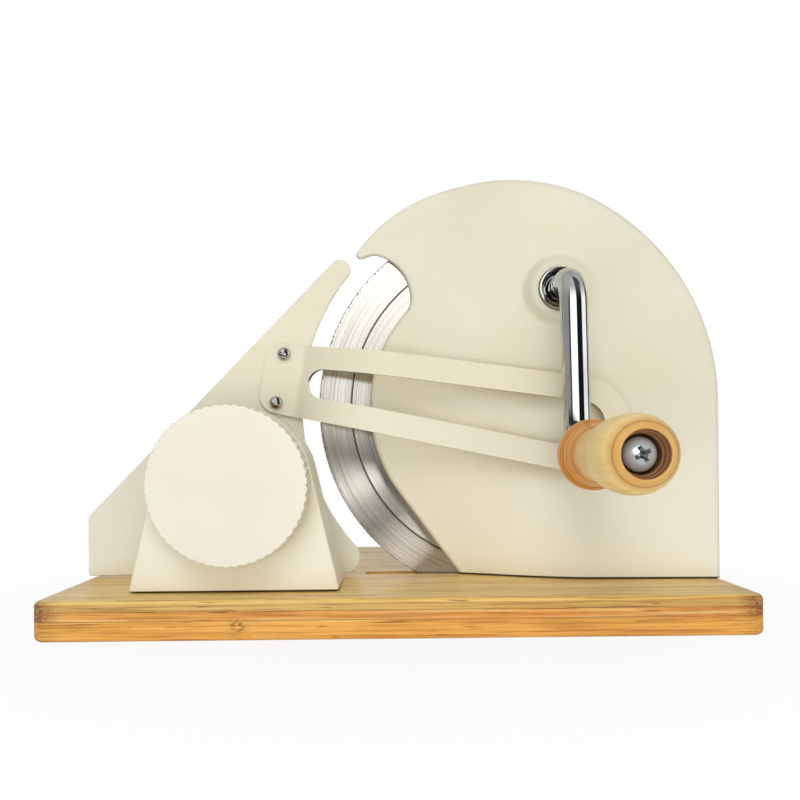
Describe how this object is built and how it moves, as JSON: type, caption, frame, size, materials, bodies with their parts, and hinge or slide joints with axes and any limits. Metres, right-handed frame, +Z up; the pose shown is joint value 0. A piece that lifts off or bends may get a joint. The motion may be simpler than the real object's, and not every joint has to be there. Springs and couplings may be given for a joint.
{
  "type": "bread slicer",
  "caption": "Hand-cranked bread slicer: round serrated blade in an ivory pressed housing on a wooden board, geared crank with wooden grip, sliding fence, slice guide and thickness knob.",
  "frame": {"origin": "centre of the base board's underside", "axes": "+X from the fence to the housing, +Y from the crank side to the bread side, +Z up"},
  "size_m": [0.3066, 0.244, 0.2102],
  "materials": {
    "board_wood": "satin lacquered bamboo",
    "grip_wood": "lacquered turned wood",
    "enamel": "satin ivory enamel",
    "knob_plastic": "satin moulded ivory",
    "blade_steel": "turned and ground stainless steel",
    "chrome": "polished chrome",
    "zinc": "zinc plated steel",
    "bronze": "sintered bronze",
    "gear_nylon": "natural nylon"
  },
  "bodies": {
    "base": {"base_board": "board_wood", "frame_plate": "zinc", "blade_bush": "bronze", "crank_inner_bush": "bronze", "housing_post_1": "zinc", "housing_post_2": "zinc", "housing_post_3": "zinc", "housing_screw_1": "zinc", "housing_screw_2": "zinc", "housing_screw_3": "zinc", "frame_foot_nut_1": "zinc", "frame_foot_nut_2": "zinc", "frame_foot_nut_3": "zinc", "frame_foot_screw_1": "zinc", "frame_foot_screw_2": "zinc", "frame_foot_screw_3": "zinc", "housing_shell": "enamel", "crank_outer_bush": "chrome", "adjuster_pedestal": "enamel", "pedestal_screw_1": "zinc", "pedestal_screw_2": "zinc", "pedestal_screw_3": "zinc", "pedestal_screw_4": "zinc", "guide_bush_1": "bronze", "guide_bush_2": "bronze", "spindle_bush": "bronze"},
    "blade": {"blade_disc": "blade_steel", "blade_hub": "zinc", "blade_clamp": "blade_steel", "blade_clamp_screw_1": "zinc", "blade_clamp_screw_2": "zinc", "blade_clamp_screw_3": "zinc", "blade_gear": "gear_nylon", "blade_circlip": "zinc"},
    "crank": {"crank_rod": "chrome", "crank_gear": "gear_nylon", "crank_gear_pin": "zinc", "crank_washer": "zinc", "handle_washer": "zinc", "handle_bolt": "chrome"},
    "grip": {"handle_grip": "grip_wood"},
    "knob": {"thickness_knob": "knob_plastic", "adjuster_spindle": "zinc", "spindle_circlip": "zinc"},
    "fence": {"fence_plate": "enamel", "guide_rod_1": "zinc", "guide_rod_2": "zinc", "spindle_nut": "bronze", "slice_guide": "enamel", "slice_guide_screw_1": "chrome", "slice_guide_screw_2": "chrome"}
  },
  "joints": [
    {"name": "crank_spin", "type": "hinge", "parent": "base", "child": "crank", "pos_m": [0.07744, -0.0741, 0.15279], "axis": [0, -1, 0], "continuous": true},
    {"name": "blade_spin", "type": "hinge", "parent": "base", "child": "blade", "pos_m": [0.0572, -0.0235, 0.0995], "axis": [0, -1, 0], "continuous": true},
    {"name": "grip_spin", "type": "hinge", "parent": "crank", "child": "grip", "pos_m": [0.0827, -0.0815, 0.07519], "axis": [0, -1, 0], "continuous": true},
    {"name": "knob_turn", "type": "hinge", "parent": "base", "child": "knob", "pos_m": [-0.0712, -0.0748, 0.0638], "axis": [0, -1, 0], "range_deg": [-96, 576]},
    {"name": "fence_slide", "type": "slide", "parent": "base", "child": "fence", "axis": [0, -1, 0], "range_m": [-0.002, 0.012]}
  ],
  "couplings": [
    {"joint": "blade_spin", "follows": "crank_spin", "ratio": -1.5333},
    {"joint": "knob_turn", "follows": "fence_slide", "rad_per_m": 837.76}
  ]
}
